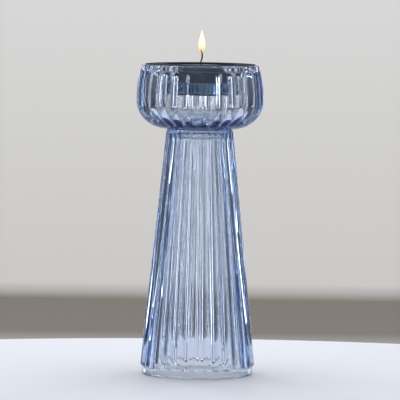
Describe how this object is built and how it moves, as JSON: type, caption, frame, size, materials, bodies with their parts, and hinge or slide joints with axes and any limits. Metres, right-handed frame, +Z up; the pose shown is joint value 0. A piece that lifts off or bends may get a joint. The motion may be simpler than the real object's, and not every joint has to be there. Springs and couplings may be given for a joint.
{
  "type": "ribbed glass tealight holder and bud vase",
  "caption": "Ribbed blue glass holder on a tapered hollow stem, with a dark metal plate in its mouth that holds a clear glass cup and a lit tealight; plate, cup and tealight lift out.",
  "frame": {"origin": "centre of the foot's resting face, on the table", "axes": "+Z up along the glass's axis, +X to the right and -Y towards the viewer"},
  "size_m": [0.1022, 0.1022, 0.2775],
  "materials": {
    "blue_glass": "clear pressed glass tinted pale blue, fire-polished",
    "dark_plate": "blackened sheet metal, satin",
    "clear_glass": "clear pressed glass with a faint blue cast",
    "cup_aluminium": "thin drawn foil, satin with draw lines",
    "wax": "translucent paraffin wax, molten and glossy at the wick",
    "tin": "stamped tin",
    "cotton": "braided cotton, charred at the top and waxed below",
    "flame": "glowing gas"
  },
  "bodies": {
    "holder": {"glass_stem": "blue_glass", "glass_bowl": "blue_glass"},
    "plate": {"insert_plate": "dark_plate"},
    "glass_cup": {"insert_glass": "clear_glass"},
    "tealight": {"tealight_cup": "cup_aluminium", "tealight_wax": "wax", "wick_sustainer": "tin", "wick": "cotton", "flame": "flame"}
  },
  "joints": [
    {"name": "plate_lift", "type": "slide", "parent": "holder", "child": "plate", "axis": [0, 0, 1], "range_m": [0, 0.04]},
    {"name": "glass_lift", "type": "slide", "parent": "plate", "child": "glass_cup", "axis": [0, 0, 1], "range_m": [0, 0.04]},
    {"name": "tealight_lift", "type": "slide", "parent": "glass_cup", "child": "tealight", "axis": [0, 0, 1], "range_m": [0, 0.04]}
  ]
}
